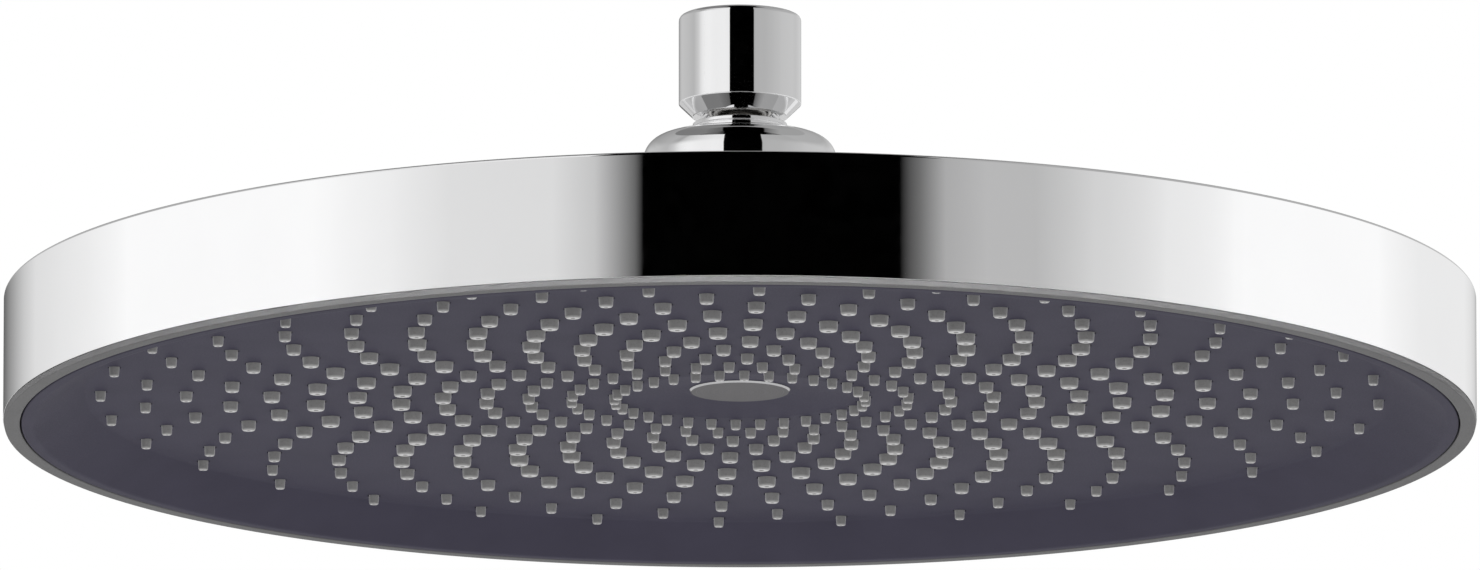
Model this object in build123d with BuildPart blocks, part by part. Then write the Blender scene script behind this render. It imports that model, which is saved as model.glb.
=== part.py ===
from build123d import *

import os
from math import asin, cos, pi, radians, sin, tan

# Rain shower head on a swivel nut, in millimetres.
# The origin is the centre of the nut's mouth, +Z points up the supply pipe,
# and the face with its nozzles looks down.

# Swivel nut and what is stacked inside it
thread_radius = 9.3
thread_length = 8.0
nut_radius = 12.5
nut_foot_radius = 9.7
nut_taper_height = 2.7
washer_thickness = 1.5
washer_relief = 0.5
washer_bore_radius = 6.0
washer_ledge = 0.65
screen_thickness = 0.5
seat_height = 5.3
seat_toe = 1.8
seat_angle = 18.0
lip_angle = 28.0
lip_opening_radius = 7.2
lip_flare = 1.0
lip_thickness = 1.43
tilt_limit = 10.0
running_fit = 0.05

# Ball stem
neck_radius = 5.4
shoulder_radius = 7.0
shoulder_thickness = 2.0
shank_radius = 5.9
water_bore_radius = 3.5
regulator_radius = 5.0
regulator_thickness = 2.0
orifice_radius = 1.6

# Shell, from the neck down to the wall
swivel_gap = 1.3
band_radius = 9.63
band_height = 2.9
cup_depth = 0.75
cup_wall = 1.33
boss_radius = 19.75
boss_height = 22.0
boss_round = 5.2
boss_wall = 2.5
neck_roof = 4.0
cone_rise = 12.0
cone_thickness = 3.0
disc_radius = 150.0
edge_bevel = 0.5
wall_height = 25.3
wall_thickness = 2.5

# Trim ring round the face
lip_drop = 1.2
lip_width = 3.4
lip_flat = 3.1
ring_ledge = 1.5
ring_ledge_thickness = 1.5

# Face plate
plate_gap = 0.3
plate_thickness = 2.5
rim_band = 2.4
rim_slope = 10.8
dish_depth = 6.65
recess_radius = 23.0
recess_floor_radius = 11.5
recess_depth = 1.35

# Nozzle mat
ring_count = 13
nozzles_per_ring = 32
outer_ring_radius = 130.2
inner_ring_radius = 25.6
first_nozzle_angle = 1.95
nozzle_sides = 4
nozzle_stand = 1.85
nozzle_taper = 4.0
narrow_nozzle = 2.1
wide_nozzle = 3.8
web_thickness = 1.5

# Water chamber, hub and centre fixing
chamber_gap = 4.0
chamber_roof = 3.0
chamber_skirt = 3.0
chamber_margin = 3.5
weld_width = 1.2
tower_gap = 0.75
tower_wall = 3.0
insert_wall = 3.05
insert_length = 12.0
insert_ledge = 1.0
throat_length = 4.0
throat_flare = 6.0
seal_thickness = 1.5
post_radius = 11.0
post_height = 13.0
rib_count = 4
rib_width = 2.5
rib_height = 6.0
pad_radius = 8.0
screw_radius = 2.0
screw_length = 12.0
screw_head_radius = 3.8
screw_head_height = 1.3
screw_socket_radius = 1.6
screw_socket_depth = 0.8
badge_radius = 10.3
badge_thickness = 0.45

# Swivel: the ball turns about ball_z, held between the seat ring and the nut's lip
relief_radius = thread_radius + washer_relief
bore_radius = thread_radius - washer_ledge
ball_radius = bore_radius - running_fit
washer_z = -thread_length - washer_thickness
ball_z = washer_z - seat_height
ball_top_z = ball_z + seat_height - ball_radius * sin(radians(tilt_limit)) - running_fit
lip_contact_radius = bore_radius * cos(radians(lip_angle))
lip_contact_z = ball_z - bore_radius * sin(radians(lip_angle))
lip_top_z = lip_contact_z + (bore_radius - lip_contact_radius) / tan(radians(lip_angle))
lip_edge_z = lip_contact_z - (lip_contact_radius - lip_opening_radius) / tan(radians(lip_angle))
seat_contact_radius = bore_radius * cos(radians(seat_angle))
seat_contact_z = ball_z + bore_radius * sin(radians(seat_angle))
seat_toe_z = ball_z + seat_toe
seat_top_radius = seat_contact_radius - (washer_z - seat_contact_z) * tan(radians(seat_angle))
seat_toe_radius = seat_contact_radius + (seat_contact_z - seat_toe_z) * tan(radians(seat_angle))

# Levels of the shell, from the nut's foot down to the lip
nut_foot_z = lip_edge_z - lip_thickness
band_top_z = nut_foot_z - swivel_gap
cup_floor_z = band_top_z - cup_depth
boss_top_z = band_top_z - band_height
roof_z = boss_top_z - neck_roof
boss_base_z = boss_top_z - boss_height
wall_top_z = boss_base_z - cone_rise
wall_foot_z = wall_top_z - wall_height
lip_z = wall_foot_z - lip_drop
shoulder_seat_z = cup_floor_z - shoulder_thickness
wall_inner_radius = disc_radius - wall_thickness
boss_inner_radius = boss_radius - boss_wall
boss_inner_z = boss_base_z - cone_thickness
cone_inner_z = wall_top_z - cone_thickness

# Levels and radii of the face and the chamber
lip_inner_radius = disc_radius - lip_width
plate_radius = lip_inner_radius - plate_gap
rim_inner_radius = plate_radius - rim_band
field_radius = rim_inner_radius - rim_slope
field_z = lip_z + dish_depth
rim_top_z = lip_z + plate_thickness
plate_back_z = field_z + plate_thickness
recess_z = field_z + recess_depth
head_seat_z = recess_z + screw_head_height + running_fit
web_top_z = plate_back_z + web_thickness
chamber_floor_z = web_top_z + chamber_gap
chamber_top_z = chamber_floor_z + chamber_roof
chamber_radius = field_radius + chamber_margin
skirt_radius = chamber_radius - chamber_skirt
web_radius = chamber_radius - weld_width - running_fit

# Hub: the shank screws into the insert, below the seal
shank_bore_radius = shank_radius + running_fit
seal_foot_z = roof_z - seal_thickness
insert_foot_z = seal_foot_z - insert_length
insert_radius = shank_bore_radius + insert_wall
insert_bore_radius = insert_radius + running_fit
throat_radius = insert_bore_radius - insert_ledge
throat_foot_z = insert_foot_z - throat_length
tower_radius = boss_inner_radius - tower_gap
tower_bore_radius = tower_radius - tower_wall
shank_foot_z = insert_foot_z + seal_thickness
screw_bore_radius = screw_radius + running_fit

os.makedirs("parts", exist_ok=True)


# Swivel nut: threaded mouth, washer groove, ball bore and the conical lip that carries the ball
with BuildPart() as swivel_nut:
    with BuildSketch(Plane.XZ):
        with BuildLine():
            Polyline(
                (nut_radius, 0),
                (thread_radius, 0),
                (thread_radius, -thread_length),
                (relief_radius, -thread_length),
                (relief_radius, washer_z),
                (bore_radius, washer_z),
                (bore_radius, lip_top_z),
                (lip_opening_radius, lip_edge_z),
                (lip_opening_radius + lip_flare, nut_foot_z),
                (nut_foot_radius, nut_foot_z),
                (nut_radius, nut_foot_z + nut_taper_height),
                close=True,
            )
        make_face()
    revolve(axis=Axis.Z)
swivel_nut.part.label = "swivel_nut"
export_step(swivel_nut.part, "parts/swivel_nut.step")


# Flat washer that seals the pipe's end
with BuildPart() as inlet_washer:
    with BuildSketch(Plane.XY.offset(washer_z)):
        Circle(relief_radius - running_fit)
        Circle(washer_bore_radius, mode=Mode.SUBTRACT)
    extrude(amount=washer_thickness)
inlet_washer.part.label = "inlet_washer"
export_step(inlet_washer.part, "parts/inlet_washer.step")


# Strainer disc that sits in the washer's bore
with BuildPart() as filter_screen:
    with BuildSketch(Plane.XY.offset(-thread_length)):
        Circle(washer_bore_radius - running_fit)
    extrude(amount=-screen_thickness)
filter_screen.part.label = "filter_screen"
export_step(filter_screen.part, "parts/filter_screen.step")


# Ring that bears on the ball from above, with a cone that just clears the ball
with BuildPart() as seat_ring:
    with BuildSketch(Plane.XZ):
        with BuildLine():
            Polyline(
                (ball_radius, washer_z),
                (seat_top_radius, washer_z),
                (seat_toe_radius, seat_toe_z),
                (ball_radius, seat_toe_z),
                close=True,
            )
        make_face()
    revolve(axis=Axis.Z)
seat_ring.part.label = "seat_ring"
export_step(seat_ring.part, "parts/seat_ring.step")


# Ball stem: cropped ball, neck, shoulder and shank on one water bore
ball_top_radius = ball_radius * cos(asin((ball_top_z - ball_z) / ball_radius))
neck_top_z = ball_z - ball_radius * cos(asin(neck_radius / ball_radius))
regulator_seat_z = ball_top_z - regulator_thickness
with BuildPart() as ball_stem:
    with BuildSketch(Plane.XZ):
        with BuildLine():
            Polyline(
                (neck_radius, neck_top_z),
                (neck_radius, cup_floor_z),
                (shoulder_radius, cup_floor_z),
                (shoulder_radius, shoulder_seat_z),
                (shank_radius, shoulder_seat_z),
                (shank_radius, shank_foot_z),
                (water_bore_radius, shank_foot_z),
                (water_bore_radius, regulator_seat_z),
                (regulator_radius, regulator_seat_z),
                (regulator_radius, ball_top_z),
                (ball_top_radius, ball_top_z),
            )
            ThreePointArc(
                (ball_top_radius, ball_top_z),
                (ball_radius, ball_z),
                (neck_radius, neck_top_z),
            )
        make_face()
    revolve(axis=Axis.Z)
ball_stem.part.label = "ball_stem"
export_step(ball_stem.part, "parts/ball_stem.step")


# Orifice disc in the top of the ball
with BuildPart() as flow_regulator:
    with BuildSketch(Plane.XY.offset(regulator_seat_z)):
        Circle(regulator_radius - running_fit)
        Circle(orifice_radius, mode=Mode.SUBTRACT)
    extrude(amount=regulator_thickness)
flow_regulator.part.label = "flow_regulator"
export_step(flow_regulator.part, "parts/flow_regulator.step")


# Top shell: neck band with the cup for the nut's foot, rounded boss, shallow cone and wall
with BuildPart() as top_shell:
    with BuildSketch(Plane.XZ):
        with BuildLine():
            Polyline(
                (disc_radius - edge_bevel, wall_top_z),
                (disc_radius, wall_top_z - edge_bevel),
                (disc_radius, wall_foot_z),
                (wall_inner_radius, wall_foot_z),
                (wall_inner_radius, cone_inner_z),
                (boss_inner_radius, boss_inner_z),
                (boss_inner_radius, roof_z),
                (shank_bore_radius, roof_z),
                (shank_bore_radius, shoulder_seat_z),
                (shoulder_radius + running_fit, shoulder_seat_z),
                (shoulder_radius + running_fit, cup_floor_z),
                (band_radius - cup_wall, cup_floor_z),
                (band_radius, band_top_z),
                (band_radius, boss_top_z),
                (boss_radius, boss_top_z),
                (boss_radius, boss_base_z),
                close=True,
            )
        make_face()
    revolve(axis=Axis.Z)
    boss_top_edges = top_shell.edges().filter_by_position(Axis.Z, boss_top_z, boss_top_z)
    boss_edge = boss_top_edges.sort_by(SortBy.RADIUS)[-1]
    fillet(boss_edge, radius=boss_round)
top_shell.part.label = "top_shell"
export_step(top_shell.part, "parts/top_shell.step")


# Trim ring: flat lip under the wall, upstand inside it and a ledge over the plate's rim
with BuildPart() as trim_ring:
    with BuildSketch(Plane.XZ):
        with BuildLine():
            Polyline(
                (lip_inner_radius, lip_z),
                (lip_inner_radius + lip_flat, lip_z),
                (disc_radius, wall_foot_z),
                (wall_inner_radius - running_fit, wall_foot_z),
                (wall_inner_radius - running_fit, rim_top_z + ring_ledge_thickness),
                (plate_radius - ring_ledge, rim_top_z + ring_ledge_thickness),
                (plate_radius - ring_ledge, rim_top_z),
                (lip_inner_radius, rim_top_z),
                close=True,
            )
        make_face()
    revolve(axis=Axis.Z)
trim_ring.part.label = "trim_ring"
export_step(trim_ring.part, "parts/trim_ring.step")


# Face plate: flat rim band, sloping dish, flat nozzle field and the recess for the badge
with BuildPart() as face_plate:
    with BuildSketch(Plane.XZ):
        with BuildLine():
            Polyline(
                (plate_radius, lip_z),
                (rim_inner_radius, lip_z),
                (field_radius, field_z),
                (recess_radius, field_z),
                (recess_floor_radius, recess_z),
                (screw_head_radius + running_fit, recess_z),
                (screw_head_radius + running_fit, head_seat_z),
                (screw_bore_radius, head_seat_z),
                (screw_bore_radius, web_top_z),
                (pad_radius, web_top_z),
                (pad_radius, plate_back_z),
                (chamber_radius, plate_back_z),
                (rim_inner_radius, rim_top_z),
                (plate_radius, rim_top_z),
                close=True,
            )
        make_face()
    revolve(axis=Axis.Z)
face_plate.part.label = "face_plate"
export_step(face_plate.part, "parts/face_plate.step")


# Nozzle mat: web behind the plate, and the nozzles that stand out of the field.
# Rings are evenly spaced and each is turned half a pitch from the last.
# Nozzles are widest in the middle ring and narrowest in the first and last.
# There are so many that each is kept to four sides, with no bore.
ring_step = (outer_ring_radius - inner_ring_radius) / (ring_count - 1)
half_pitch = 180 / nozzles_per_ring
middle_ring = (ring_count - 1) / 2
with BuildPart() as nozzle_mat:
    with BuildSketch(Plane.XY.offset(plate_back_z)):
        Circle(web_radius)
        Circle(pad_radius + running_fit, mode=Mode.SUBTRACT)
    extrude(amount=web_thickness)
    with BuildSketch(Plane.XY.offset(field_z)):
        for ring in range(ring_count):
            swell = (1 + cos(pi * (ring - middle_ring) / middle_ring)) / 2
            nozzle_radius = (narrow_nozzle + (wide_nozzle - narrow_nozzle) * swell) / 2
            ring_angle = first_nozzle_angle + ring * half_pitch
            with PolarLocations(outer_ring_radius - ring * ring_step, nozzles_per_ring, ring_angle):
                RegularPolygon(nozzle_radius, nozzle_sides)
    extrude(amount=-nozzle_stand, taper=nozzle_taper)
nozzle_mat.part.label = "nozzle_mat"
export_step(nozzle_mat.part, "parts/nozzle_mat.step")


# Back of the water chamber: skirt that grips the mat, hub tower and the centre post on its ribs
with BuildPart() as chamber_back:
    with BuildSketch(Plane.XZ):
        with BuildLine():
            Polyline(
                (tower_bore_radius, chamber_floor_z),
                (skirt_radius, chamber_floor_z),
                (skirt_radius, web_top_z),
                (chamber_radius - weld_width, web_top_z),
                (chamber_radius - weld_width, plate_back_z),
                (chamber_radius, plate_back_z),
                (chamber_radius, chamber_top_z),
                (tower_radius, chamber_top_z),
                (tower_radius, roof_z),
                (insert_bore_radius, roof_z),
                (insert_bore_radius, insert_foot_z),
                (throat_radius, insert_foot_z),
                (throat_radius, throat_foot_z),
                (tower_bore_radius, throat_foot_z - throat_flare),
                close=True,
            )
        make_face()
    revolve(axis=Axis.Z)
    with BuildSketch(Plane.XY.offset(web_top_z)):
        Circle(post_radius)
        Circle(screw_bore_radius, mode=Mode.SUBTRACT)
    extrude(amount=post_height)
    with BuildSketch(Plane.XY.offset(web_top_z + post_height - rib_height)):
        with PolarLocations((post_radius + tower_bore_radius) / 2, rib_count):
            Rectangle(tower_bore_radius - post_radius + rib_width, rib_width)
    extrude(amount=rib_height)
chamber_back.part.label = "chamber_back"
export_step(chamber_back.part, "parts/chamber_back.step")


# Seal on the shank, between the shell's neck and the insert
with BuildPart() as stem_seal:
    with BuildSketch(Plane.XY.offset(seal_foot_z)):
        Circle(insert_radius)
        Circle(shank_bore_radius, mode=Mode.SUBTRACT)
    extrude(amount=seal_thickness)
stem_seal.part.label = "stem_seal"
export_step(stem_seal.part, "parts/stem_seal.step")


# Threaded insert in the top of the tower
with BuildPart() as hub_insert:
    with BuildSketch(Plane.XY.offset(insert_foot_z)):
        Circle(insert_radius)
        Circle(shank_bore_radius, mode=Mode.SUBTRACT)
    extrude(amount=insert_length)
hub_insert.part.label = "hub_insert"
export_step(hub_insert.part, "parts/hub_insert.step")


# Screw under the badge that ties the plate to the centre post
with BuildPart() as centre_screw:
    with BuildSketch(Plane.XY.offset(head_seat_z)):
        Circle(screw_head_radius)
    extrude(amount=-screw_head_height)
    with BuildSketch(Plane.XY.offset(head_seat_z)):
        Circle(screw_radius)
    extrude(amount=screw_length)
    with BuildSketch(Plane.XY.offset(head_seat_z - screw_head_height)):
        RegularPolygon(screw_socket_radius, 6)
    extrude(amount=screw_socket_depth, mode=Mode.SUBTRACT)
centre_screw.part.label = "centre_screw"
export_step(centre_screw.part, "parts/centre_screw.step")


# Plain badge disc on the recess floor
with BuildPart() as centre_badge:
    with BuildSketch(Plane.XY.offset(recess_z)):
        Circle(badge_radius)
    extrude(amount=-badge_thickness)
centre_badge.part.label = "centre_badge"
export_step(centre_badge.part, "parts/centre_badge.step")
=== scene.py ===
"""Looks of the rain shower head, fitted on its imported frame.

Outlines hold radius and height in millimetres, as on a turner's drawing. Meshes are in metres.
"""

import logging
import math
from collections.abc import Callable, Iterable, Iterator, Sequence
from dataclasses import dataclass, field, replace
from enum import Enum

import bmesh
import bpy
from bpy.types import ID, Material, MeshPolygon, Node, NodeSocket, Object, World
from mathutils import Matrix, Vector
from mathutils.geometry import delaunay_2d_cdt


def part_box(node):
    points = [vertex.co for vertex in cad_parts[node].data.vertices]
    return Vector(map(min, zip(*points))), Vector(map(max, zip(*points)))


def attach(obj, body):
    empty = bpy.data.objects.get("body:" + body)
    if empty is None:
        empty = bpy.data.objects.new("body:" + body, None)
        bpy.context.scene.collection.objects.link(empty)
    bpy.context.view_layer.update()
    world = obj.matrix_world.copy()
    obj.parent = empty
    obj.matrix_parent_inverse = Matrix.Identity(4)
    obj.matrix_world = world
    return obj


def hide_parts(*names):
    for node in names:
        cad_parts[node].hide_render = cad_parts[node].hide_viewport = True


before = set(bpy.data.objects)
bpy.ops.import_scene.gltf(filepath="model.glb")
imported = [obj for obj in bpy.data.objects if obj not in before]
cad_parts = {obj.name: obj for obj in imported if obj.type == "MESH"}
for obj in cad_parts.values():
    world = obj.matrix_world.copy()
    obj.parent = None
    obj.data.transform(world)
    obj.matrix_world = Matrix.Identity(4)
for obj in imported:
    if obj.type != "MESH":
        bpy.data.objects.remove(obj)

LOG = logging.getLogger("shower_head")
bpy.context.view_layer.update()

MM = 0.001
SHARP_EDGE = math.radians(32)
COARSE_ARC = math.radians(32)
FINE_ARC = math.radians(18)
BROAD_ARC = math.radians(6)
BROAD_RADIUS = 2.0
SETBACK_SHARE = 0.48
EDGE_BREAK = 0.2
HOLD_GAP = 0.06
MERGE_GAP = 1e-7
ROUND_SEGMENTS = 384
SMALL_SEGMENTS = 144
MOTTLE_SIZE = 14.0
MOTTLE_DETAIL = 3.0
NOISE_ROUGHNESS = 0.55
SHADE_LIMITS = (0.25, 0.75)
GLOSS_LIMITS = (0.3, 0.7)
SHEEN_ROUGHNESS = 0.5

Point = tuple[float, float]
Place = tuple[float, float, float]
Ring = list[int]


@dataclass(frozen=True)
class Span:
    """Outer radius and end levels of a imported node, in millimetres."""

    radius: float
    low: float
    high: float

    @classmethod
    def of_node(cls, node: str) -> "Span":
        """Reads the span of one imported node.

        Args:
            node: Name of the node in the frame.

        Returns:
            The node's outer radius, foot level and top level.
        """
        low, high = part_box(node)
        return cls(high.x / MM, low.z / MM, high.z / MM)


@dataclass(frozen=True)
class Corner:
    """One corner of a turned outline, with the radius that breaks its edge."""

    radius: float
    height: float
    round: float = 0.0

    @property
    def place(self) -> Vector:
        """The corner as a point of the outline's plane."""
        return Vector((self.radius, self.height))


def round_corner(
    here: Vector, before: Vector, after: Vector, radius: float, coarse: bool
) -> list[Point]:
    """Breaks one corner with an arc, held by a point on the straight at each end.

    Args:
        here: The corner.
        before: The corner that comes before it.
        after: The corner that comes after it.
        radius: Radius of the arc.
        coarse: Whether the arc has few points, for pieces that repeat many times.

    Returns:
        The points that take the corner's place.
    """
    back, ahead = before - here, after - here
    toward_back, toward_ahead = back.normalized(), ahead.normalized()
    half_angle = toward_back.angle(toward_ahead) / 2
    back_room, ahead_room = SETBACK_SHARE * back.length, SETBACK_SHARE * ahead.length
    setback = min(radius / math.tan(half_angle), back_room, ahead_room)
    radius = setback * math.tan(half_angle)
    centre = here + (toward_back + toward_ahead).normalized() * radius / math.sin(half_angle)
    start, end = here + toward_back * setback - centre, here + toward_ahead * setback - centre
    first = math.atan2(start.y, start.x)
    sweep = math.remainder(math.atan2(end.y, end.x) - first, math.tau)
    pitch = COARSE_ARC if coarse else BROAD_ARC if radius > BROAD_RADIUS else FINE_ARC
    steps = max(2, math.ceil(abs(sweep) / pitch))
    arc = [first + sweep * step / steps for step in range(steps + 1)]
    points = [tuple(centre + radius * Vector((math.cos(a), math.sin(a)))) for a in arc]
    if back_room > setback + HOLD_GAP:
        points.insert(0, tuple(here + toward_back * (setback + HOLD_GAP)))
    if ahead_room > setback + HOLD_GAP:
        points.append(tuple(here + toward_ahead * (setback + HOLD_GAP)))
    return points


def soften(corners: Sequence[Corner], closed: bool = False, coarse: bool = False) -> list[Point]:
    """Turns corners into outline points, with the broken edges as arcs.

    Args:
        corners: The outline's corners in order.
        closed: Whether the last corner joins the first.
        coarse: Whether the arcs have few points.

    Returns:
        The outline's points in order.
    """
    points: list[Point] = []
    last = len(corners) - 1
    for index, corner in enumerate(corners):
        is_end = not closed and index in (0, last)
        if is_end or corner.round <= 0:
            points.append(tuple(corner.place))
            continue
        before = corners[index - 1].place
        after = corners[0 if index == last else index + 1].place
        points.extend(round_corner(corner.place, before, after, corner.round, coarse))
    return points


def fill_between(loops: Sequence[Sequence[Point]]) -> list[tuple[int, ...]]:
    """Fills a flat round field, leaving its round holes open.

    Args:
        loops: Loop round the field, and then the loop of each opening in it.

    Returns:
        Triangles that number the points of all the loops in turn.
    """
    spots: list[Vector] = []
    edges: list[tuple[int, int]] = []
    owner: list[int] = []
    for number, loop in enumerate(loops):
        start, count = len(spots), len(loop)
        spots.extend(Vector(point) for point in loop)
        owner.extend([number] * count)
        edges.extend((start + step, start + (step + 1) % count) for step in range(count))
    _, _, faces, origins, _, _ = delaunay_2d_cdt(spots, edges, [], 0, MERGE_GAP)
    kept = []
    for face in faces:
        numbers = tuple(origins[spot][0] for spot in face)
        owners = {owner[number] for number in numbers}
        if len(owners) > 1 or 0 in owners:
            kept.append(numbers)
    return kept


def stand(name: str, data: ID) -> Object:
    """Makes an object of a mesh, a camera or a lamp, linked to the scene."""
    thing = bpy.data.objects.new(name, data)
    bpy.context.scene.collection.objects.link(thing)
    return thing


def look_along(thing: Object, way: Vector) -> None:
    """Turns a camera or a lamp to look along a line."""
    thing.rotation_mode = "QUATERNION"
    thing.rotation_quaternion = way.to_track_quat("-Z", "Y")


@dataclass
class MeshPlan:
    """Points and faces of one piece, gathered before its mesh is made."""

    points: list[Place] = field(default_factory=list)
    faces: list[tuple[int, ...]] = field(default_factory=list)

    def add(self, points: Iterable[Place]) -> Ring:
        """Adds points and gives their numbers."""
        start = len(self.points)
        self.points.extend(points)
        return list(range(start, len(self.points)))

    def ring(self, radius: float, height: float, segments: int, centre: Point) -> Ring:
        """Adds a level circle of points, or one point where the radius is nil.

        Args:
            radius: Radius of the circle.
            height: Level of the circle.
            segments: Number of points round it.
            centre: Where its axis stands.

        Returns:
            The numbers of the added points.
        """
        x, y = centre
        if radius <= 0:
            return self.add([(x, y, height)])
        angles = [math.tau * step / segments for step in range(segments)]
        return self.add((x + radius * math.cos(a), y + radius * math.sin(a), height) for a in angles)

    def bridge(self, first: Ring, second: Ring) -> None:
        """Joins two circles with a band of faces, or a circle and a point with a fan.

        Args:
            first: One circle's points.
            second: The other circle's points.
        """
        count = max(len(first), len(second))
        for step in range(count):
            after = (step + 1) % count
            if len(first) == 1:
                self.faces.append((first[0], second[after], second[step]))
            elif len(second) == 1:
                self.faces.append((first[step], first[after], second[0]))
            else:
                self.faces.append((first[step], first[after], second[after], second[step]))

    def skin(self, rings: Sequence[Ring]) -> None:
        """Joins each circle to the next one."""
        for first, second in zip(rings, rings[1:]):
            self.bridge(first, second)

    def turn(
        self, outline: Sequence[Point], segments: int, closed: bool = False, centre: Point = (0.0, 0.0)
    ) -> list[Ring]:
        """Turns an outline about a vertical axis.

        Args:
            outline: Points of the outline.
            segments: Number of points round each circle.
            closed: Whether the last point joins the first.
            centre: Where the axis stands.

        Returns:
            The circles, in the outline's order.
        """
        rings = [self.ring(radius, height, segments, centre) for radius, height in outline]
        self.skin(rings + rings[:1] if closed else rings)
        return rings

    def fill(self, walls: Sequence[Sequence[Ring]]) -> None:
        """Closes both flat sides of a plate, between its outer wall and the walls of its holes.

        Args:
            walls: Circles of each wall from one side to the other, with the outer wall first.
        """
        loops = [[self.points[number][:2] for number in wall[0]] for wall in walls]
        triangles = fill_between(loops)
        for side in (0, -1):
            numbers = [number for wall in walls for number in wall[side]]
            self.faces.extend(tuple(numbers[spot] for spot in face) for face in triangles)

    def build(self, name: str) -> Object:
        """Makes the mesh and its object, with smooth faces and crisp corners.

        Args:
            name: Name of the piece.

        Returns:
            The new object, linked to the scene.
        """
        mesh = bpy.data.meshes.new(name)
        scaled = [(x * MM, y * MM, z * MM) for x, y, z in self.points]
        mesh.from_pydata(scaled, [], self.faces)
        worked = bmesh.new()
        worked.from_mesh(mesh)
        bmesh.ops.recalc_face_normals(worked, faces=worked.faces)
        worked.to_mesh(mesh)
        worked.free()
        mesh.polygons.foreach_set("use_smooth", [True] * len(mesh.polygons))
        mesh.set_sharp_from_angle(angle=SHARP_EDGE)
        LOG.info("built %s with %d faces", name, len(mesh.polygons))
        return stand(name, mesh)


class NodeBench:
    """Lays out the nodes of one material, or of the room."""

    def __init__(self, owner: Material | World) -> None:
        """Starts with nothing but the output.

        Args:
            owner: The material or the world.
        """
        self.owner = owner
        owner.use_nodes = True
        self.tree = owner.node_tree
        self.tree.nodes.clear()
        kind = "Material" if isinstance(owner, Material) else "World"
        self.output = self.add("Output" + kind)

    def add(self, kind: str, **values: object) -> Node:
        """Adds a node and sets its plain inputs.

        Args:
            kind: Blender's name for the node, after ShaderNode.
            values: Input values, with _ for each space in an input's name.

        Returns:
            The new node.
        """
        node = self.tree.nodes.new("ShaderNode" + kind)
        for label, value in values.items():
            node.inputs[label.replace("_", " ")].default_value = value
        return node

    def join(self, source: NodeSocket, node: Node, label: str | int) -> None:
        """Links one output to a node's input."""
        self.tree.links.new(source, node.inputs[label])

    def blend(self, share: NodeSocket, first: NodeSocket, second: NodeSocket) -> NodeSocket:
        """Mixes two surfaces.

        Args:
            share: How much of the second surface shows.
            first: One surface.
            second: The other surface.

        Returns:
            The mixed surface.
        """
        mixed = self.add("MixShader")
        for number, source in enumerate((share, first, second)):
            self.join(source, mixed, number)
        return mixed.outputs["Shader"]


def grey(tone: float) -> tuple[float, float, float, float]:
    """Gives an even grey as a node's colour."""
    return tone, tone, tone, 1.0


class Grain(Enum):
    """How a surface was made, with the number of finer layers in its texture."""

    PLATED = 1.0
    MOULDED = 4.0
    SPUN = 2.0


@dataclass(frozen=True)
class Finish:
    """One surface finish: its colour, its gloss and its fine texture."""

    name: str
    colour: tuple[float, float, float]
    roughness: float
    grain: Grain = Grain.MOULDED
    metallic: float = 0.0
    specular: float = 0.5
    ior: float = 1.5
    sheen: float = 0.0
    colour_spread: float = 0.08
    roughness_spread: float = 0.08
    grain_size: float = 0.5
    grain_depth: float = 0.01

    def material(self) -> Material:
        """Makes the finish's material.

        Returns:
            A node material with mottled colour, uneven gloss and a fine raised grain.
        """
        bench = NodeBench(bpy.data.materials.new(self.name))
        shader = bench.add(
            "BsdfPrincipled",
            Metallic=self.metallic,
            IOR=self.ior,
            Specular_IOR_Level=self.specular,
            Sheen_Weight=self.sheen,
            Sheen_Roughness=SHEEN_ROUGHNESS,
        )
        bench.join(shader.outputs["BSDF"], bench.output, "Surface")
        place = bench.add("TexCoord").outputs["Object"]
        mottle = self._noise(bench, place, MOTTLE_SIZE, MOTTLE_DETAIL)
        grain = self._grain(bench, place)
        shades = bench.add("ValToRGB")
        for stop, limit, sign in zip(shades.color_ramp.elements, SHADE_LIMITS, (-1, 1)):
            stop.position = limit
            stop.color = (*(min(1.0, c * (1 + sign * self.colour_spread)) for c in self.colour), 1.0)
        bench.join(mottle, shades, "Fac")
        bench.join(shades.outputs["Color"], shader, "Base Color")
        low, high = GLOSS_LIMITS
        gloss = bench.add(
            "MapRange",
            From_Min=low,
            From_Max=high,
            To_Min=max(0.0, self.roughness - self.roughness_spread),
            To_Max=min(1.0, self.roughness + self.roughness_spread),
        )
        bench.join(grain, gloss, "Value")
        bench.join(gloss.outputs["Result"], shader, "Roughness")
        bump = bench.add("Bump", Strength=1.0, Distance=self.grain_depth * MM)
        bench.join(grain, bump, "Height")
        bench.join(bump.outputs["Normal"], shader, "Normal")
        return bench.owner

    def _noise(self, bench: NodeBench, place: NodeSocket, size: float, detail: float) -> NodeSocket:
        """Adds a cloudy pattern.

        Args:
            bench: The material's nodes.
            place: Coordinates to read.
            size: Width of one cloud in millimetres.
            detail: How many finer layers it has.

        Returns:
            The pattern's output.
        """
        node = bench.add("TexNoise", Scale=1 / (size * MM), Detail=detail, Roughness=NOISE_ROUGHNESS)
        bench.join(place, node, "Vector")
        return node.outputs["Fac"]

    def _grain(self, bench: NodeBench, place: NodeSocket) -> NodeSocket:
        """Adds the fine texture left by the way the surface was made.

        Args:
            bench: The material's nodes.
            place: Coordinates to read.

        Returns:
            The texture's output.
        """
        layers = self.grain.value
        if self.grain is not Grain.SPUN:
            return self._noise(bench, place, self.grain_size, layers)
        level = bench.add("Mapping", Scale=(1.0, 1.0, 0.0))
        bench.join(place, level, "Vector")
        reach = bench.add("VectorMath")
        reach.operation = "LENGTH"
        bench.join(level.outputs["Vector"], reach, 0)
        lines = bench.add("TexNoise", Scale=1 / (self.grain_size * MM), Detail=layers)
        lines.noise_dimensions = "1D"
        bench.join(reach.outputs["Value"], lines, "W")
        return lines.outputs["Fac"]


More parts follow.
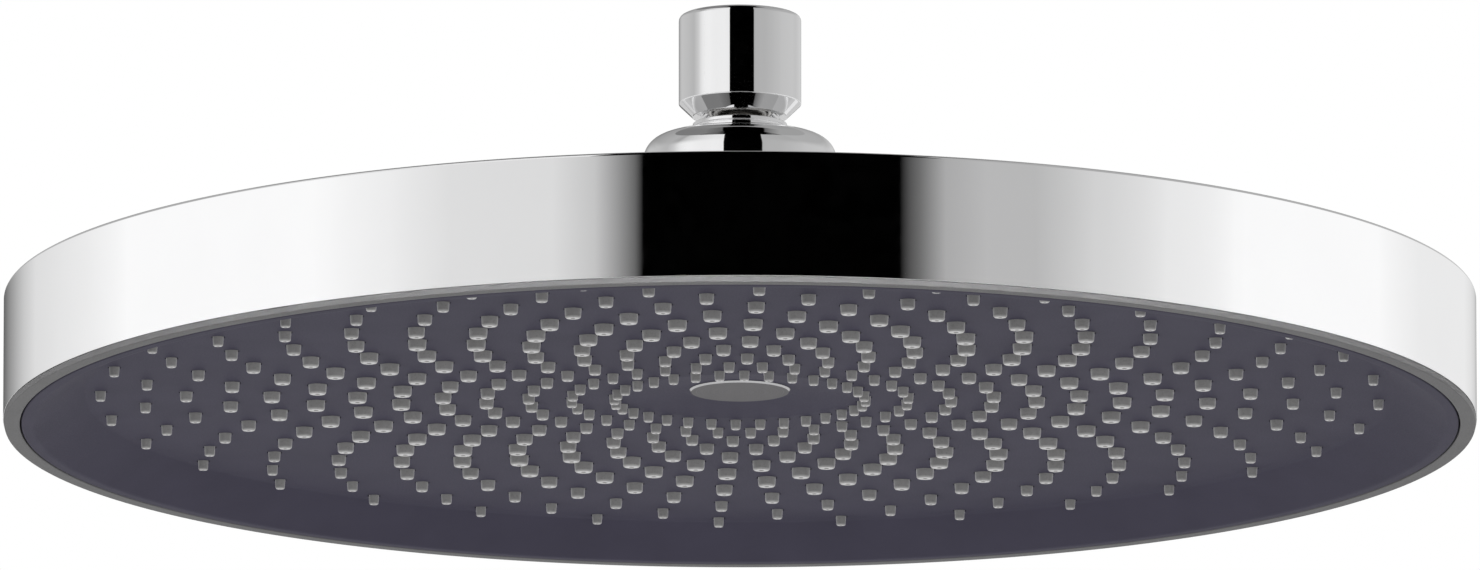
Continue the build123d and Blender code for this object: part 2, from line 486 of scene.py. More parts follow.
CHROME = Finish(
    "chrome_plate", (0.95, 0.95, 0.955), 0.025, Grain.PLATED, metallic=1.0,
    colour_spread=0.008, roughness_spread=0.012, grain_size=3.0, grain_depth=0.0004,
)
TRIM_GREY = Finish(
    "trim_grey_plastic", (0.13, 0.129, 0.131), 0.42, specular=0.1, grain_size=0.35, grain_depth=0.006
)
SLATE = Finish(
    "slate_plastic", (0.0578, 0.0539, 0.0799), 0.55, specular=0.06,
    colour_spread=0.07, grain_size=0.3, grain_depth=0.008,
)
SILICONE = Finish(
    "nozzle_silicone", (0.29, 0.287, 0.283), 0.3, specular=0.45, ior=1.43, sheen=1.0,
    colour_spread=0.1, grain_size=0.6, grain_depth=0.006,
)
# Painted highlight: the tips' paler silicone stands in for the light that the downward tips catch from
# below.
TIP_HIGHLIGHT_SILICONE = replace(SILICONE, name="nozzle_tip_painted_highlight", colour=(0.36, 0.356, 0.352))
BADGE_GREY = Finish(
    "badge_satin", (0.083, 0.0785, 0.0845), 0.4, Grain.SPUN, metallic=0.3, specular=0.3,
    colour_spread=0.04, grain_size=0.16, grain_depth=0.003,
)
BRIGHT_CUT = Finish(
    "badge_bright_cut", (0.75, 0.75, 0.76), 0.16, Grain.SPUN, metallic=1.0,
    colour_spread=0.03, grain_size=0.1, grain_depth=0.001,
)
BRASS = Finish(
    "stem_brass", (0.62, 0.45, 0.2), 0.26, Grain.SPUN, metallic=1.0,
    colour_spread=0.06, grain_size=0.2, grain_depth=0.003,
)
NICKEL = Finish(
    "stem_nickel", (0.62, 0.61, 0.59), 0.18, Grain.SPUN, metallic=1.0,
    colour_spread=0.03, grain_size=0.2, grain_depth=0.002,
)
SCREEN_STEEL = Finish(
    "screen_steel", (0.6, 0.59, 0.57), 0.28, metallic=1.0, grain_size=0.2, grain_depth=0.002
)
BLACK_RUBBER = Finish("black_rubber", (0.022, 0.022, 0.023), 0.62, grain_size=0.25, grain_depth=0.015)
ACETAL = Finish("white_acetal", (0.72, 0.71, 0.68), 0.38, grain_depth=0.006)
CHAMBER_PLASTIC = Finish("chamber_plastic", (0.05, 0.05, 0.054), 0.46)


def fit_out(piece: Object, node: str, body: str, finish: Finish) -> None:
    """Puts a piece in its node's place on the frame and gives it its finish.

    Args:
        piece: The made piece.
        node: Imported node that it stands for.
        body: Body that it moves with.
        finish: Finish of its surface.
    """
    piece.data.materials.append(finish.material())
    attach(piece, body)
    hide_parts(node)


def repaint(piece: Object, finish: Finish, chosen: Callable[[MeshPolygon], bool]) -> None:
    """Gives some of a piece's faces a finish of their own.

    Args:
        piece: The dressed piece.
        finish: Finish of the chosen faces.
        chosen: Tells whether a face gets it.
    """
    number = len(piece.data.materials)
    piece.data.materials.append(finish.material())
    for face in piece.data.polygons:
        if chosen(face):
            face.material_index = number


@dataclass
class SwivelNut:
    """Inlet nut: plain chromed sleeve with a tapered foot and the pipe thread inside."""

    span: Span
    thread_radius: float = 9.3
    thread_length: float = 8.0
    thread_pitch: float = 1.814
    thread_depth: float = 1.1
    thread_fade: float = 8.0
    flank_rise: float = 1.3
    crest_drop: float = 0.15
    rows_per_pitch: int = 12
    mouth_chamfer: float = 0.9
    relief_radius: float = 9.8
    washer_thickness: float = 1.5
    bore_radius: float = 8.65
    bore_end: float = 3.4
    bore_round: float = 0.3
    lip_radius: float = 7.2
    lip_flare: float = 1.0
    lip_thickness: float = 1.43
    foot_radius: float = 9.7
    foot_round: float = 0.35
    taper_height: float = 2.7
    taper_round: float = 0.3
    top_round: float = 1.1

    def build(self) -> Object:
        """Makes the sleeve and cuts the thread in it.

        Returns:
            The nut.
        """
        plan = MeshPlan()
        top, foot = self.span.high, self.span.low
        washer_level = top - self.thread_length - self.washer_thickness
        corners = [
            Corner(self.thread_radius, top - self.thread_length),
            Corner(self.relief_radius, top - self.thread_length),
            Corner(self.relief_radius, washer_level),
            Corner(self.bore_radius, washer_level, EDGE_BREAK),
            Corner(self.bore_radius, foot + self.lip_thickness + self.bore_end, self.bore_round),
            Corner(self.lip_radius, foot + self.lip_thickness, EDGE_BREAK),
            Corner(self.lip_radius + self.lip_flare, foot, EDGE_BREAK),
            Corner(self.foot_radius, foot, self.foot_round),
            Corner(self.span.radius, foot + self.taper_height, self.taper_round),
            Corner(self.span.radius, top, self.top_round),
            Corner(self.thread_radius + self.mouth_chamfer, top, EDGE_BREAK),
            Corner(self.thread_radius, top - self.mouth_chamfer),
        ]
        rings = plan.turn(soften(corners), SMALL_SEGMENTS)
        self._cut_thread(plan, rings[-1], rings[0])
        return plan.build("swivel_nut_sleeve")

    def _cut_thread(self, plan: MeshPlan, mouth: Ring, foot: Ring) -> None:
        """Joins the mouth to the bottom of the thread with a helical wall.

        Args:
            plan: Mesh under way.
            mouth: Circle under the mouth's chamfer.
            foot: Circle where the thread ends.
        """
        start, end = self.span.high - self.mouth_chamfer, self.span.high - self.thread_length
        rows = round((start - end) / self.thread_pitch * self.rows_per_pitch)
        rings = [mouth]
        for row in range(1, rows):
            share = row / rows
            height = start + (end - start) * share
            fade = min(1.0, self.thread_fade * share, self.thread_fade * (1 - share))
            points: list[Place] = []
            for step in range(SMALL_SEGMENTS):
                turn = step / SMALL_SEGMENTS
                phase = (height / self.thread_pitch + turn) % 1
                groove = min(1.0, max(0.0, self.flank_rise * abs(2 * phase - 1) - self.crest_drop))
                radius = self.thread_radius + self.thread_depth * groove * fade
                angle = math.tau * turn
                points.append((radius * math.cos(angle), radius * math.sin(angle), height))
            rings.append(plan.add(points))
        plan.skin([*rings, foot])

    def dress(self, piece: Object) -> None:
        """Plates the nut and puts it on its body."""
        fit_out(piece, "swivel_nut", "nut", CHROME)


@dataclass
class FilterScreen:
    """Strainer: woven wires in a flat rim."""

    span: Span
    rim_width: float = 0.7
    rim_round: float = 0.12
    wire_pitch: float = 0.72
    wire_radius: float = 0.11
    wire_sides: int = 6
    steps_per_pitch: int = 4

    def build(self) -> Object:
        """Makes the rim and weaves the wires.

        Returns:
            The strainer.
        """
        plan = MeshPlan()
        rim_inside = self.span.radius - self.rim_width
        corners = [
            Corner(self.span.radius, self.span.high, self.rim_round),
            Corner(self.span.radius, self.span.low, self.rim_round),
            Corner(rim_inside, self.span.low, self.rim_round),
            Corner(rim_inside, self.span.high, self.rim_round),
        ]
        plan.turn(soften(corners, closed=True), SMALL_SEGMENTS, closed=True)
        reach = rim_inside + self.rim_width / 2
        count = int(reach / self.wire_pitch)
        for lane in range(-count, count + 1):
            for crosswise in (False, True):
                self._wire(plan, reach, lane, crosswise)
        return plan.build("filter_screen_mesh")

    def _wire(self, plan: MeshPlan, reach: float, lane: int, crosswise: bool) -> None:
        """Adds one wire that goes over and under the wires it crosses.

        Args:
            plan: Mesh under way.
            reach: How far from the middle the wires end.
            lane: The wire's number from the middle.
            crosswise: Whether it runs across the first set.
        """
        offset = lane * self.wire_pitch
        length = math.sqrt(max(0.0, reach**2 - offset**2))
        steps = max(self.steps_per_pitch, round(2 * length / self.wire_pitch * self.steps_per_pitch))
        middle = (self.span.high + self.span.low) / 2
        side = -1 if crosswise else 1
        rings: list[Ring] = []
        for step in range(steps + 1):
            along = -length + 2 * length * step / steps
            wave = math.cos(math.pi * along / self.wire_pitch + math.pi * lane)
            height = middle + side * self.wire_radius * wave
            points: list[Place] = []
            for corner in range(self.wire_sides):
                angle = math.tau * corner / self.wire_sides
                across = offset + self.wire_radius * math.cos(angle)
                level = height + self.wire_radius * math.sin(angle)
                points.append((across, along, level) if crosswise else (along, across, level))
            rings.append(plan.add(points))
        plan.skin(rings)
        plan.faces.extend((tuple(rings[0]), tuple(rings[-1])))

    def dress(self, piece: Object) -> None:
        """Gives the wires their steel and puts the strainer on its body."""
        fit_out(piece, "filter_screen", "nut", SCREEN_STEEL)


@dataclass
class TopShell:
    """Chromed shell: neck band with its cup, round boss, shallow cone and the straight wall."""

    span: Span
    shank_radius: float = 5.95
    shoulder_radius: float = 7.05
    shoulder_depth: float = 2.0
    cup_radius: float = 8.3
    cup_depth: float = 0.75
    cup_round: float = 0.15
    band_radius: float = 9.63
    band_height: float = 2.9
    band_fillet: float = 0.4
    groove_drop: float = 1.0
    groove_width: float = 0.4
    groove_depth: float = 0.22
    groove_round: float = 0.06
    boss_radius: float = 19.75
    boss_height: float = 22.0
    boss_round: float = 5.2
    boss_fillet: float = 1.2
    boss_wall: float = 2.5
    neck_roof: float = 4.0
    cone_thickness: float = 3.0
    wall_height: float = 25.3
    wall_thickness: float = 2.5
    wall_round: float = 0.6
    foot_round: float = 0.08
    inner_round: float = 1.0

    def build(self) -> Object:
        """Turns the shell in one piece.

        Returns:
            The shell.
        """
        rim, foot, top = self.span.radius, self.span.low, self.span.high
        wall_top = foot + self.wall_height
        boss_top = top - self.band_height
        boss_base = boss_top - self.boss_height
        boss_inside = self.boss_radius - self.boss_wall
        wall_inside = rim - self.wall_thickness
        roof = boss_top - self.neck_roof
        cup_floor = top - self.cup_depth
        shoulder = cup_floor - self.shoulder_depth
        groove = top - self.groove_drop
        half_groove = self.groove_width / 2
        corners = [
            Corner(rim, wall_top, self.wall_round),
            Corner(rim, foot, self.foot_round),
            Corner(wall_inside, foot, EDGE_BREAK),
            Corner(wall_inside, wall_top - self.cone_thickness, self.inner_round),
            Corner(boss_inside, boss_base - self.cone_thickness, self.inner_round),
            Corner(boss_inside, roof, self.inner_round),
            Corner(self.shank_radius, roof, EDGE_BREAK),
            Corner(self.shank_radius, shoulder),
            Corner(self.shoulder_radius, shoulder),
            Corner(self.shoulder_radius, cup_floor, self.cup_round),
            Corner(self.cup_radius, cup_floor, EDGE_BREAK),
            Corner(self.band_radius, top, self.cup_round),
            Corner(self.band_radius, groove + half_groove, self.groove_round),
            Corner(self.band_radius - self.groove_depth, groove, self.groove_round),
            Corner(self.band_radius, groove - half_groove, self.groove_round),
            Corner(self.band_radius, boss_top, self.band_fillet),
            Corner(self.boss_radius, boss_top, self.boss_round),
            Corner(self.boss_radius, boss_base, self.boss_fillet),
        ]
        plan = MeshPlan()
        plan.turn(soften(corners, closed=True), ROUND_SEGMENTS, closed=True)
        return plan.build("top_shell_moulding")

    def dress(self, piece: Object) -> None:
        """Plates the shell and puts it on its body."""
        fit_out(piece, "top_shell", "head", CHROME)


@dataclass
class TrimRing:
    """Plain grey ring between the shell's wall and the face plate."""

    span: Span
    lip_drop: float = 1.2
    lip_width: float = 3.4
    lip_flat: float = 3.1
    lip_inset: float = 0.05
    inner_round: float = 0.25
    seam_width: float = 0.18
    seam_depth: float = 0.25
    seam_round: float = 0.1
    wall_thickness: float = 2.55
    ledge_thickness: float = 1.5
    ledge_reach: float = 1.8
    top_round: float = 0.3

    def build(self) -> Object:
        """Turns the ring, with a fine seam under the wall.

        Returns:
            The ring.
        """
        rim, foot, top = self.span.radius, self.span.low, self.span.high
        inside = rim - self.lip_width
        wall_foot = foot + self.lip_drop
        seam = wall_foot - self.seam_width
        ledge = top - self.ledge_thickness
        corners = [
            Corner(inside, foot, self.inner_round),
            Corner(inside + self.lip_flat, foot, EDGE_BREAK),
            Corner(rim - self.lip_inset, seam, self.seam_round),
            Corner(rim - self.seam_depth, seam),
            Corner(rim - self.seam_depth, wall_foot),
            Corner(rim - self.wall_thickness, wall_foot),
            Corner(rim - self.wall_thickness, top, self.top_round),
            Corner(inside - self.ledge_reach, top, self.top_round),
            Corner(inside - self.ledge_reach, ledge),
            Corner(inside, ledge),
        ]
        plan = MeshPlan()
        plan.turn(soften(corners, closed=True), ROUND_SEGMENTS, closed=True)
        return plan.build("trim_ring_lip")

    def dress(self, piece: Object) -> None:
        """Gives the ring its grey plastic and puts it on its body."""
        fit_out(piece, "trim_ring", "head", TRIM_GREY)


@dataclass(frozen=True)
class NozzlePattern:
    """Rings of nozzles, each turned half a pitch from the last and widest in the middle ring."""

    ring_count: int = 13
    nozzles_per_ring: int = 32
    outer_ring: float = 130.2
    inner_ring: float = 25.6
    first_angle: float = 1.95
    narrow: float = 2.1
    wide: float = 3.8

    def seats(self) -> Iterator[tuple[Point, float]]:
        """Lists the nozzles, ring by ring from the outside.

        Returns:
            Where each nozzle stands, and its radius at the plate.
        """
        step = (self.outer_ring - self.inner_ring) / (self.ring_count - 1)
        middle = (self.ring_count - 1) / 2
        for ring in range(self.ring_count):
            swell = (1 + math.cos(math.pi * (ring - middle) / middle)) / 2
            radius = (self.narrow + (self.wide - self.narrow) * swell) / 2
            reach = self.outer_ring - ring * step
            for number in range(self.nozzles_per_ring):
                turns = (number + ring / 2) / self.nozzles_per_ring
                angle = math.radians(self.first_angle) + math.tau * turns
                yield (reach * math.cos(angle), reach * math.sin(angle)), radius


@dataclass
class FacePlate:
    """Dark dish with the flat nozzle field and a hole for each nozzle."""

    span: Span
    pattern: NozzlePattern
    thickness: float = 2.5
    rim_band: float = 2.4
    rim_slope: float = 10.8
    rim_round: float = 0.3
    lip_round: float = 1.5
    back_round: float = 0.4
    dish_depth: float = 6.65
    dish_round: float = 3.0
    chamber_margin: float = 3.5
    recess_radius: float = 23.0
    recess_floor_radius: float = 11.5
    recess_depth: float = 1.35
    recess_round: float = 2.0
    screw_head_radius: float = 3.85
    screw_head_depth: float = 1.35
    screw_radius: float = 2.05
    pad_radius: float = 8.0
    field_margin: float = 1.1
    hole_gap: float = 0.3
    hole_sides: int = 18

    @property
    def field_level(self) -> float:
        """Level of the flat that the nozzles stand out of."""
        return self.span.low + self.dish_depth

    @property
    def back_level(self) -> float:
        """Level of the plate's back, behind the nozzles."""
        return self.field_level + self.thickness

    def build(self) -> Object:
        """Turns the rim and the hub, and drills the field between them.

        Returns:
            The plate.
        """
        plan = MeshPlan()
        walls = [
            plan.turn(soften(self._rim_corners()), ROUND_SEGMENTS),
            plan.turn(soften(self._hub_corners()), SMALL_SEGMENTS),
        ]
        for place, radius in self.pattern.seats():
            hole = [(radius + self.hole_gap, level) for level in (self.field_level, self.back_level)]
            walls.append(plan.turn(hole, self.hole_sides, centre=place))
        plan.fill(walls)
        return plan.build("face_plate_dish")

    def _rim_corners(self) -> list[Corner]:
        """Draws the plate from the edge of the field, round the rim, to the back.

        Returns:
            Corners of the open outline.
        """
        rim, lip = self.span.radius, self.span.low
        rim_inside = rim - self.rim_band
        edge = rim_inside - self.rim_slope
        rim_back = lip + self.thickness
        return [
            Corner(edge - self.field_margin, self.field_level),
            Corner(edge, self.field_level, self.dish_round),
            Corner(rim_inside, lip, self.lip_round),
            Corner(rim, lip, self.rim_round),
            Corner(rim, rim_back, EDGE_BREAK),
            Corner(rim_inside, rim_back, self.back_round),
            Corner(edge + self.chamber_margin, self.back_level, self.back_round),
            Corner(edge - self.field_margin, self.back_level),
        ]

    def _hub_corners(self) -> list[Corner]:
        """Draws the plate from the inner edge of the field, round the screw hole, to the back.

        Returns:
            Corners of the open outline.
        """
        edge = self.recess_radius + self.field_margin
        floor = self.field_level + self.recess_depth
        head_seat = floor + self.screw_head_depth
        return [
            Corner(edge, self.field_level),
            Corner(self.recess_radius, self.field_level, self.dish_round),
            Corner(self.recess_floor_radius, floor, self.recess_round),
            Corner(self.screw_head_radius, floor),
            Corner(self.screw_head_radius, head_seat),
            Corner(self.screw_radius, head_seat),
            Corner(self.screw_radius, self.span.high),
            Corner(self.pad_radius, self.span.high, EDGE_BREAK),
            Corner(self.pad_radius, self.back_level),
            Corner(edge, self.back_level),
        ]

    def dress(self, piece: Object) -> None:
        """Gives the plate its slate plastic and puts it on its body."""
        fit_out(piece, "face_plate", "head", SLATE)


@dataclass
class NozzleMat:
    """Silicone mat: a web behind the plate and a bored nozzle through each hole."""

    span: Span
    pattern: NozzlePattern
    field_level: float
    back_level: float
    hub_radius: float = 8.05
    tip_taper: float = 0.12
    tip_round: float = 0.4
    bore_share: float = 0.24
    bore_chamfer: float = 0.12
    sides: int = 16

    def build(self) -> Object:
        """Makes the web and draws every nozzle out of it.

        Returns:
            The mat.
        """
        plan = MeshPlan()
        levels = (self.back_level, self.span.high)
        walls = [
            plan.turn([(self.span.radius, level) for level in levels], ROUND_SEGMENTS // 2),
            plan.turn([(self.hub_radius, level) for level in levels], SMALL_SEGMENTS // 2),
        ]
        for place, radius in self.pattern.seats():
            outline = soften(self._nozzle_corners(radius), coarse=True)
            walls.append(plan.turn(outline, self.sides, centre=place))
        plan.fill(walls)
        return plan.build("nozzle_mat_silicone")

    def _nozzle_corners(self, radius: float) -> list[Corner]:
        """Draws one nozzle from the web, over its tip, and up its bore.

        Args:
            radius: The nozzle's radius at the plate.

        Returns:
            Corners of the open outline.
        """
        tip, bore = self.span.low, radius * self.bore_share
        return [
            Corner(radius, self.back_level),
            Corner(radius, self.field_level),
            Corner(radius - self.tip_taper, tip, self.tip_round),
            Corner(bore + self.bore_chamfer, tip),
            Corner(bore, tip + self.bore_chamfer),
            Corner(bore, self.span.high),
        ]

    def dress(self, piece: Object) -> None:
        """Gives the mat its silicone, paler at the tips as a painted highlight for the light they catch
        from below, and puts it on its body.
        """
        fit_out(piece, "nozzle_mat", "head", SILICONE)
        highlight_end = (self.span.low + self.tip_round) * MM
        # Painted highlight: the faces at the nozzle tips get the paler silicone.
        repaint(piece, TIP_HIGHLIGHT_SILICONE, lambda face: face.center.z < highlight_end)


@dataclass
class CentreBadge:
    """Plain satin disc in the middle of the face, with a bright-cut edge."""

    span: Span
    edge_cut: float = 0.35
    cut_facing: Point = (-0.9, -0.3)

    def build(self) -> Object:
        """Turns the disc.

        Returns:
            The badge.
        """
        corners = [
            Corner(0.0, self.span.low),
            Corner(self.span.radius - self.edge_cut, self.span.low),
            Corner(self.span.radius, self.span.low + self.edge_cut),
            Corner(self.span.radius, self.span.high),
            Corner(0.0, self.span.high),
        ]
        plan = MeshPlan()
        plan.turn(soften(corners), SMALL_SEGMENTS)
        return plan.build("centre_badge_disc")

    def dress(self, piece: Object) -> None:
        """Gives the badge its satin grey and its bright edge, and puts it on its body."""
        fit_out(piece, "centre_badge", "head", BADGE_GREY)
        steep, shallow = self.cut_facing
        repaint(piece, BRIGHT_CUT, lambda face: steep < face.normal.z < shallow)


@dataclass
class InnerWorks:
    """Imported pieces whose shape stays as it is: washer, seat, stem, hub and chamber."""

    finishes: tuple[tuple[str, Finish], ...] = (
        ("inlet_washer", BLACK_RUBBER),
        ("seat_ring", ACETAL),
        ("ball_stem", NICKEL),
        ("flow_regulator", ACETAL),
        ("stem_seal", BLACK_RUBBER),
        ("hub_insert", BRASS),
        ("chamber_back", CHAMBER_PLASTIC),
        ("centre_screw", SCREEN_STEEL),
    )

    def dress(self) -> None:
        """Gives each kept node its own finish."""
        for node, finish in self.finishes:
            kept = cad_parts[node]
            kept.data.materials.clear()
            kept.data.materials.append(finish.material())
            LOG.info("dressed %s in %s", node, finish.name)


class Bend(Enum):
    """How a card stands round the head."""

    FLAT = "flat"
    ROUND = "round"


@dataclass(frozen=True)
class Rail:
    """One line across a card: a flat card's depth or a round one's distance, its height, its spread.

    Depth and height are in metres, and the spread scales the card's stops on this line.
    """

    depth: float
    height: float
    spread: float = 1.0


@dataclass(frozen=True)
class Flag:
    """Card that only shows in the plating, with the share it covers from side to side.

    A flat card has its stops in metres to the picture's right, and a round one in degrees from
    the camera's side. A round card is seen from inside alone.
    """

    name: str
    tone: float
    stops: tuple[Point, ...]
    rails: tuple[Rail, ...]
    bend: Bend = Bend.FLAT
    step: float = 4.0

    def build(self, level: float) -> None:
        """Sets the card up round the head, seen by mirror reflections alone.

        Args:
            level: Height of the head's middle, in metres.
        """
        points, faces, shares = [], [], []
        rows = len(self.rails)
        for number, (place, share) in enumerate(self._columns()):
            for rail in self.rails:
                points.append((*self._spot(place * rail.spread, rail.depth), level + rail.height))
                shares.append(share)
            if number:
                here = rows * number
                faces.extend(
                    (spot - rows, spot, spot + 1, spot - rows + 1) for spot in range(here, here + rows - 1)
                )
        mesh = bpy.data.meshes.new(self.name)
        mesh.from_pydata(points, [], faces)
        mesh.attributes.new("cover", "FLOAT", "POINT").data.foreach_set("value", shares)
        card = stand(self.name, mesh)
        card.data.materials.append(self._material())
        card.visible_camera = False
        card.visible_diffuse = False
        card.visible_shadow = False
        card.visible_transmission = False

    def _columns(self) -> Iterator[Point]:
        """Goes across the card, with extra columns between a round card's stops.

        Returns:
            Each column's place and the share that it covers.
        """
        yield self.stops[0]
        for (start, low), (end, high) in zip(self.stops, self.stops[1:]):
            count = math.ceil((end - start) / self.step) if self.bend is Bend.ROUND else 1
            for number in range(1, count + 1):
                part = number / count
                yield start + (end - start) * part, low + (high - low) * part

    def _spot(self, place: float, depth: float) -> Point:
        """Finds a column's spot on the plan of the room.

        Args:
            place: The column's place across the card.
            depth: Depth of a flat card, or a round one's distance.

        Returns:
            The spot, in metres.
        """
        if self.bend is Bend.FLAT:
            return place, depth
        angle = math.radians(place)
        return depth * math.sin(angle), -depth * math.cos(angle)

    def _material(self) -> Material:
        """Makes the card's surface, which thins out where it covers less.

        Returns:
            The material.
        """
        bench = NodeBench(bpy.data.materials.new(self.name))
        cover = bench.add("Attribute")
        cover.attribute_name = "cover"
        share = cover.outputs["Fac"]
        clear = bench.add("BsdfTransparent")
        shade = bench.add("Emission", Color=grey(self.tone))
        if self.bend is Bend.ROUND:
            side = bench.add("NewGeometry")
            seen = bench.add("Math")
            seen.operation = "SUBTRACT"
            seen.use_clamp = True
            bench.join(share, seen, 0)
            bench.join(side.outputs["Backfacing"], seen, 1)
            share = seen.outputs["Value"]
        shown = bench.blend(share, clear.outputs["BSDF"], shade.outputs["Emission"])
        bench.join(shown, bench.output, "Surface")
        return bench.owner


FRONT_CARD = Flag(
    "front_card",
    0.0,
    (
        (-6.7, 0.0), (-4.3, 0.11), (-3.0, 0.24), (-1.63, 0.26), (-1.21, 0.42), (-0.94, 0.75),
        (-0.85, 0.86), (-0.78, 1.0), (1.35, 1.0), (1.45, 0.91), (1.55, 0.84), (1.83, 0.58),
        (2.34, 0.5), (3.1, 0.5), (4.3, 0.33), (6.7, 0.16), (13.0, 0.02), (16.0, 0.0),
    ),
    (Rail(-3.0, -0.1), Rail(-3.0, 0.9), Rail(-3.0, 3.8, 1.7), Rail(-3.0, 8.0, 2.4)),
)
OVERHEAD_CARD = Flag(
    "overhead_card",
    0.0,
    ((-3.2, 0.0), (-1.5, 0.5), (-1.39, 1.0), (2.06, 1.0), (2.2, 0.6), (2.8, 0.35), (4.0, 0.0)),
    (Rail(-3.0, 8.0, 1.48), Rail(-1.2, 8.0, 1.22), Rail(0.2, 8.0), Rail(1.0, 8.0, 0.94)),
)
BACK_CARD = Flag(
    "back_card",
    0.1,
    (
        (-8.0, 0.0), (-5.6, 0.1), (-3.3, 0.21), (-2.3, 0.28), (-1.8, 0.45), (-1.26, 0.7),
        (-0.74, 0.9), (-0.3, 1.0), (0.0, 1.0), (0.42, 0.6), (0.72, 0.37), (1.0, 0.26),
        (1.4, 0.17), (3.4, 0.15), (5.7, 0.0),
    ),
    (Rail(3.0, -0.1), Rail(3.0, 2.0)),
)
NECK_SHADE = Flag(
    "neck_shade",
    0.45,
    (
        (-180.0, 0.3), (-160.0, 0.5), (-128.0, 0.75), (-107.0, 0.9), (-96.0, 0.95),
        (-86.0, 0.75), (-71.0, 0.3), (-59.0, 0.0), (25.7, 0.0), (26.7, 0.95),
        (64.0, 0.85), (96.0, 0.8), (128.0, 0.75), (160.0, 0.5), (180.0, 0.3),
    ),
    (Rail(0.4, 0.45), Rail(0.4, 0.08)),
    Bend.ROUND,
)
NECK_LIGHT = Flag(
    "neck_light",
    0.9,
    (
        (-83.0, 0.0), (-75.0, 0.4), (-64.0, 0.65), (-48.0, 0.8), (-32.0, 0.9),
        (-19.5, 0.9), (-18.5, 0.0),
    ),
    (Rail(0.399, 0.45), Rail(0.399, 0.08)),
    Bend.ROUND,
)
NECK_STRIPE = Flag(
    "neck_stripe",
    0.0,
    ((-19.1, 0.0), (-18.9, 1.0), (25.6, 1.0), (25.8, 0.0)),
    (Rail(0.398, 0.45, 1.16), Rail(0.398, 0.245, 1.03), Rail(0.398, 0.145), Rail(0.398, 0.08)),
    Bend.ROUND,
)


@dataclass(frozen=True)
class Lamp:
    """Soft square lamp that faces the head, in metres, watts and degrees of its beam."""

    name: str
    place: Place
    size: float
    power: float
    spread: float = 180.0

    def build(self, aim: Vector) -> None:
        """Hangs the lamp, out of sight of the camera and the plating.

        Args:
            aim: Point that it faces.
        """
        data = bpy.data.lights.new(self.name, "AREA")
        data.energy = self.power
        data.size = self.size
        data.spread = math.radians(self.spread)
        lamp = stand(self.name, data)
        lamp.location = self.place
        look_along(lamp, aim - lamp.location)
        lamp.visible_glossy = False
        lamp.visible_camera = False


@dataclass(frozen=True)
class Ceiling:
    """Upper part of the room: the sines of its first and last elevation, and its tones to each side."""

    start: float
    end: float
    left_tone: float
    right_tone: float
    side_blend: float = 0.4


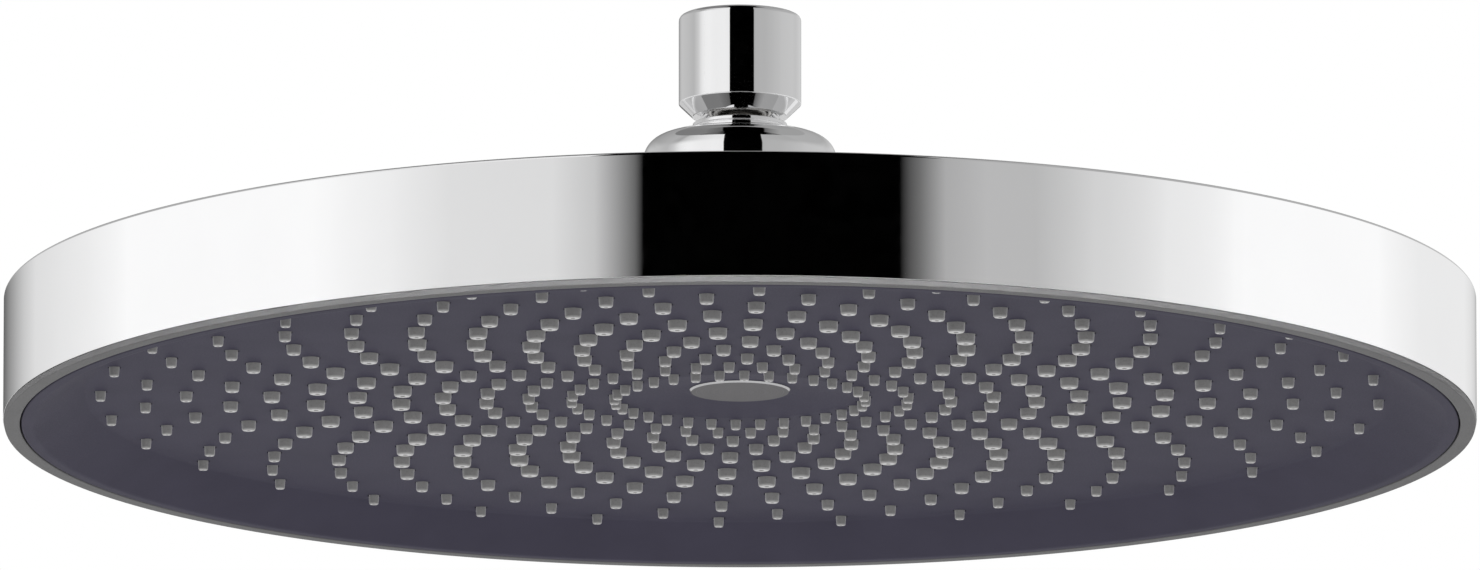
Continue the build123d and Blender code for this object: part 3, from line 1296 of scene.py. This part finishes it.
@dataclass
class Studio:
    """White studio: camera below the face, pale floor, soft lamps and cards for the plating."""

    lip_level: float
    aim_rise: float = 29.8
    view_rise: float = -11.5
    view_width: float = 301.68
    view_end: float = 100.0
    lens: float = 655.0
    sensor: float = 36.0
    floor_level: float = -1.35
    floor_reach: float = 30.0
    floor_tone: float = 0.86
    soft_ceiling: Ceiling = Ceiling(0.4, 0.8, 0.5, 0.5)
    mirrored_ceiling: Ceiling = Ceiling(0.32, 0.5, 0.2, 0.35)
    lamps: tuple[Lamp, ...] = (
        Lamp("front_lamp", (0.5, -2.4, -0.95), 1.6, 14.0),
        Lamp("low_lamp", (-0.3, 0.6, -1.3), 1.8, 10.0),
        Lamp("rim_lamp", (0.0, -1.9, 0.28), 0.5, 1.25, 16.0),
    )
    cards: tuple[Flag, ...] = (
        FRONT_CARD, OVERHEAD_CARD, BACK_CARD, NECK_SHADE, NECK_LIGHT, NECK_STRIPE
    )

    def build(self) -> None:
        """Sets up the whole studio."""
        self._camera()
        self._world()
        self._floor()
        for lamp in self.lamps:
            lamp.build(self.middle)
        for card in self.cards:
            card.build(self.middle.z)
        bpy.context.scene.view_settings.view_transform = "Standard"

    @property
    def middle(self) -> Vector:
        """Point on the head's axis that the camera looks at, in metres."""
        return Vector((0.0, 0.0, (self.lip_level + self.aim_rise) * MM))

    def _camera(self) -> None:
        """Stands the camera below the face, on the near side."""
        data = bpy.data.cameras.new("studio_camera")
        data.sensor_fit = "HORIZONTAL"
        data.sensor_width = self.sensor
        data.lens = self.lens
        data.clip_end = self.view_end
        rise = math.radians(self.view_rise)
        back = Vector((0.0, -math.cos(rise), math.sin(rise)))
        camera = stand("studio_camera", data)
        camera.location = self.middle + back * (self.view_width * MM * self.lens / self.sensor)
        look_along(camera, -back)
        bpy.context.scene.camera = camera

    def _world(self) -> None:
        """Makes the room: white to the camera, and with a darker ceiling in the plating."""
        world = bpy.data.worlds.new("studio_room")
        bpy.context.scene.world = world
        bench = NodeBench(world)
        seen = bench.add("Background", Color=grey(1.0)).outputs["Background"]
        path = bench.add("LightPath")
        room = self._room(bench, self.soft_ceiling)
        mirrored = self._room(bench, self.mirrored_ceiling)
        for ray, shown in (("Is Glossy Ray", mirrored), ("Is Camera Ray", seen)):
            room = bench.blend(path.outputs[ray], room, shown)
        bench.join(room, bench.output, "Surface")

    def _room(self, bench: NodeBench, ceiling: Ceiling) -> NodeSocket:
        """Adds a white room that darkens towards its ceiling.

        Args:
            bench: The world's nodes.
            ceiling: Where the darker part starts and ends, and its tones.

        Returns:
            The room's background.
        """
        room = bench.add("Background")
        way = bench.add("TexCoord")
        split = bench.add("SeparateXYZ")
        bench.join(way.outputs["Generated"], split, "Vector")
        top = bench.add(
            "MapRange",
            From_Min=-ceiling.side_blend,
            From_Max=ceiling.side_blend,
            To_Min=ceiling.left_tone,
            To_Max=ceiling.right_tone,
        )
        bench.join(split.outputs["X"], top, "Value")
        shades = bench.add("MapRange", From_Min=ceiling.start, From_Max=ceiling.end, To_Min=1.0)
        bench.join(split.outputs["Z"], shades, "Value")
        bench.join(top.outputs["Result"], shades, "To Max")
        bench.join(shades.outputs["Result"], room, "Color")
        return room.outputs["Background"]

    def _floor(self) -> None:
        """Lays a pale floor that is seen from above alone."""
        reach = self.floor_reach
        mesh = bpy.data.meshes.new("studio_floor")
        corners = [(-reach, -reach), (reach, -reach), (reach, reach), (-reach, reach)]
        mesh.from_pydata([(x, y, self.floor_level) for x, y in corners], [], [(0, 1, 2, 3)])
        floor = stand("studio_floor", mesh)
        bench = NodeBench(bpy.data.materials.new("studio_floor"))
        pale = bench.add("BsdfDiffuse", Color=grey(self.floor_tone))
        clear = bench.add("BsdfTransparent")
        side = bench.add("NewGeometry")
        shown = bench.blend(side.outputs["Backfacing"], pale.outputs["BSDF"], clear.outputs["BSDF"])
        bench.join(shown, bench.output, "Surface")
        floor.data.materials.append(bench.owner)


def main() -> None:
    """Builds and dresses the shower head, piece by piece, and sets up the studio."""
    logging.basicConfig(level=logging.INFO, format="%(name)s: %(message)s")
    pattern = NozzlePattern()
    plate = FacePlate(Span.of_node("face_plate"), pattern)
    assemblies = [
        SwivelNut(Span.of_node("swivel_nut")),
        FilterScreen(Span.of_node("filter_screen")),
        TopShell(Span.of_node("top_shell")),
        TrimRing(Span.of_node("trim_ring")),
        plate,
        NozzleMat(Span.of_node("nozzle_mat"), pattern, plate.field_level, plate.back_level),
        CentreBadge(Span.of_node("centre_badge")),
    ]
    for assembly in assemblies:
        assembly.dress(assembly.build())
    InnerWorks().dress()
    Studio(plate.span.low).build()


if __name__ == "__main__":
    main()
